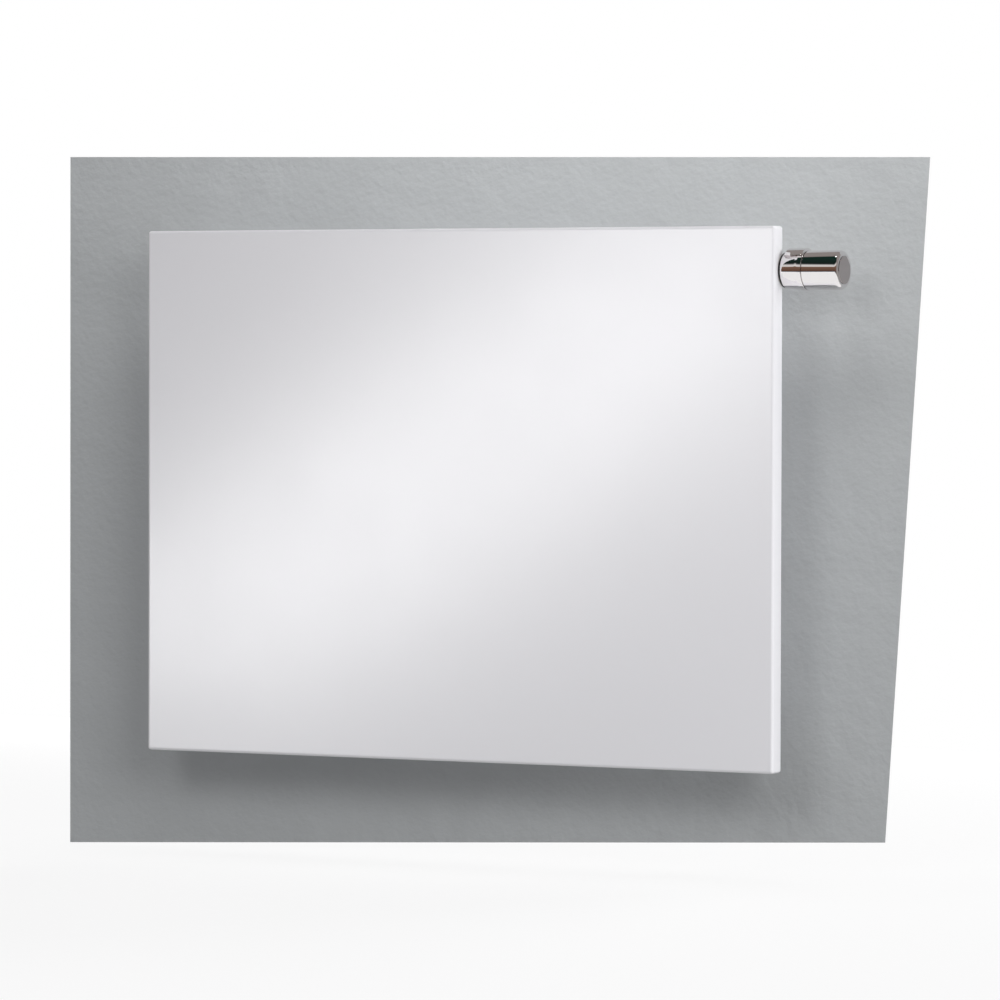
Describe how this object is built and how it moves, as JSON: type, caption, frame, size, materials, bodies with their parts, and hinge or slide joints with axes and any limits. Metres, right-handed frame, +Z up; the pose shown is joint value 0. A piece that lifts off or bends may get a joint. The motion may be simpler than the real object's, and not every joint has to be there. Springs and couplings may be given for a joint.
{
  "type": "radiator with valve",
  "caption": "Flat-fronted steel panel radiator with a built-in valve, a chrome thermostatic head, sprung wall brackets and bottom pipe connections.",
  "frame": {"origin": "on the wall, at mid length, level with the bottom edge of the front plate", "axes": "+X along the wall to the valve's side, -Y into the room, +Z up; Y = 0 is the face of the wall"},
  "size_m": [0.8715, 0.1, 0.6],
  "materials": {
    "white_enamel": "satin white powder coat",
    "chrome": "polished chrome plate",
    "brass": "turned brass",
    "nickel": "nickel plate on brass",
    "steel": "zinc-plated steel",
    "black_rubber": "matt black rubber",
    "white_plastic": "moulded white plastic",
    "grey_plastic": "moulded grey plastic",
    "copper": "drawn copper"
  },
  "bodies": {
    "radiator": {"front_plate": "white_enamel", "plate_tab_top_left": "white_enamel", "plate_tab_top_right": "white_enamel", "plate_tab_bottom_left": "white_enamel", "plate_tab_bottom_right": "white_enamel", "water_panel_front_shell": "white_enamel", "water_panel_rear_shell": "white_enamel", "convector_left": "white_enamel", "convector_middle": "white_enamel", "convector_right": "white_enamel", "vent_socket": "white_enamel", "vent_plug": "nickel", "vent_o_ring": "black_rubber", "drain_socket": "white_enamel", "drain_plug": "nickel", "drain_o_ring": "black_rubber", "supply_nipple": "nickel", "return_nipple": "nickel", "riser_pipe": "white_enamel", "return_elbow": "white_enamel", "connection_bridge": "steel", "valve_housing": "white_enamel", "valve_insert": "brass", "insert_o_ring": "black_rubber", "valve_spring": "steel", "gland_nut": "brass", "union_nut": "nickel", "base_gasket": "black_rubber", "base_sleeve": "chrome", "inner_guide": "white_plastic", "sensor_spring": "steel", "bracket_rail_left": "steel", "bracket_rail_right": "steel", "foot_insert_left": "grey_plastic", "foot_insert_right": "grey_plastic", "catch_rivet_left": "steel", "catch_rivet_right": "steel", "catch_spring_left": "steel", "catch_spring_right": "steel"},
    "grip": {"grip": "chrome", "end_disc": "chrome"},
    "sensor_train": {"sensor_carrier": "grey_plastic", "sensor": "copper"},
    "valve_stem": {"push_rod": "steel", "valve_spindle": "steel", "valve_plug": "black_rubber"},
    "preset_ring": {"preset_ring": "grey_plastic"},
    "vent_spout": {"vent_spout": "white_plastic"},
    "vent_screw": {"vent_screw": "brass"},
    "catch_left": {"catch_left": "steel", "catch_shoe_left": "grey_plastic"},
    "catch_right": {"catch_right": "steel", "catch_shoe_right": "grey_plastic"}
  },
  "joints": [
    {"name": "grip_turn", "type": "hinge", "parent": "radiator", "child": "grip", "pos_m": [0.45, -0.072, 0.5515], "axis": [1, 0, 0], "range_deg": [-150, 150]},
    {"name": "sensor_travel", "type": "slide", "parent": "radiator", "child": "sensor_train", "axis": [1, 0, 0], "range_m": [-0.00125, 0.00125]},
    {"name": "valve_lift", "type": "slide", "parent": "sensor_train", "child": "valve_stem", "axis": [1, 0, 0], "range_m": [-0.0006, 0], "stiffness_N_per_m": 400, "deforming": ["valve_spring", "sensor_spring"]},
    {"name": "preset_turn", "type": "hinge", "parent": "radiator", "child": "preset_ring", "pos_m": [0.41, -0.072, 0.5515], "axis": [1, 0, 0], "range_deg": [0, 300]},
    {"name": "vent_spout_turn", "type": "hinge", "parent": "radiator", "child": "vent_spout", "pos_m": [-0.386, -0.072, 0.5515], "axis": [-1, 0, 0], "continuous": true},
    {"name": "vent_screw_turn", "type": "hinge", "parent": "radiator", "child": "vent_screw", "pos_m": [-0.386, -0.072, 0.5515], "axis": [-1, 0, 0], "range_deg": [0, 360]},
    {"name": "catch_lift_left", "type": "slide", "parent": "radiator", "child": "catch_left", "axis": [0, 0, 1], "range_m": [0, 0.008], "stiffness_N_per_m": 600, "springref_m": -0.008, "deforming": ["catch_spring_left"]},
    {"name": "catch_lift_right", "type": "slide", "parent": "radiator", "child": "catch_right", "axis": [0, 0, 1], "range_m": [0, 0.008], "stiffness_N_per_m": 600, "springref_m": -0.008, "deforming": ["catch_spring_right"]}
  ],
  "couplings": [
    {"joint": "sensor_travel", "follows": "grip_turn", "m_per_rad": 0.000458}
  ]
}
